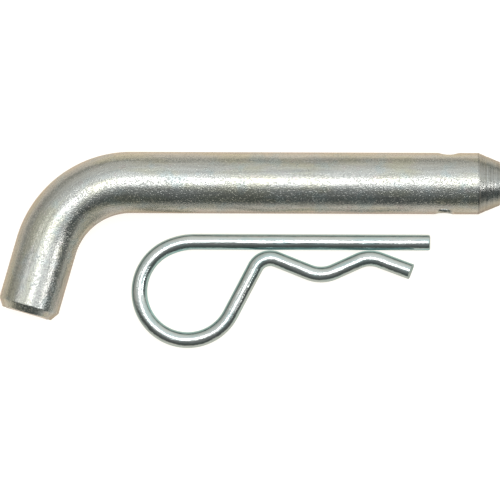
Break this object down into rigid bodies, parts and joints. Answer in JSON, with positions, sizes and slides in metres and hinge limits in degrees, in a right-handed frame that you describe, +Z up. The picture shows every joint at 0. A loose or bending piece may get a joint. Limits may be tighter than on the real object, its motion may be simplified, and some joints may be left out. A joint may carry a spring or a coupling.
{
  "type": "hitch pin with hairpin clip",
  "caption": "Bent round hitch pin with a tapered, cross-drilled tip, and the loose hairpin spring clip that locks it in place.",
  "frame": {"origin": "on the surface that the pin and the clip lie on, under the middle of the layout", "axes": "+X along the pin's shank towards its tip, -Y towards the clip and the bent handle, +Z up off the surface"},
  "size_m": [0.1292, 0.0508, 0.0159],
  "materials": {
    "satin_zinc": "satin zinc plate over hot-rolled steel bar, finely mottled",
    "bright_zinc": "bright clear zinc plate over drawn spring wire"
  },
  "bodies": {
    "pin": {"hitch_pin": "satin_zinc"},
    "clip": {"clip_straight_leg": "bright_zinc", "clip_loop": "bright_zinc"},
    "spring_leg": {"clip_wavy_leg": "bright_zinc"}
  },
  "joints": [
    {"name": "clip_lift", "type": "slide", "parent": "pin", "child": "clip", "axis": [0, 0, 1], "range_m": [0, 0.04]},
    {"name": "clip_spring", "type": "hinge", "parent": "clip", "child": "spring_leg", "pos_m": [-0.01601, -0.01078, 0.00205], "axis": [0, 0, -1], "range_deg": [0, 10], "stiffness_Nm_per_rad": 26, "deforming": ["clip_loop"]}
  ]
}
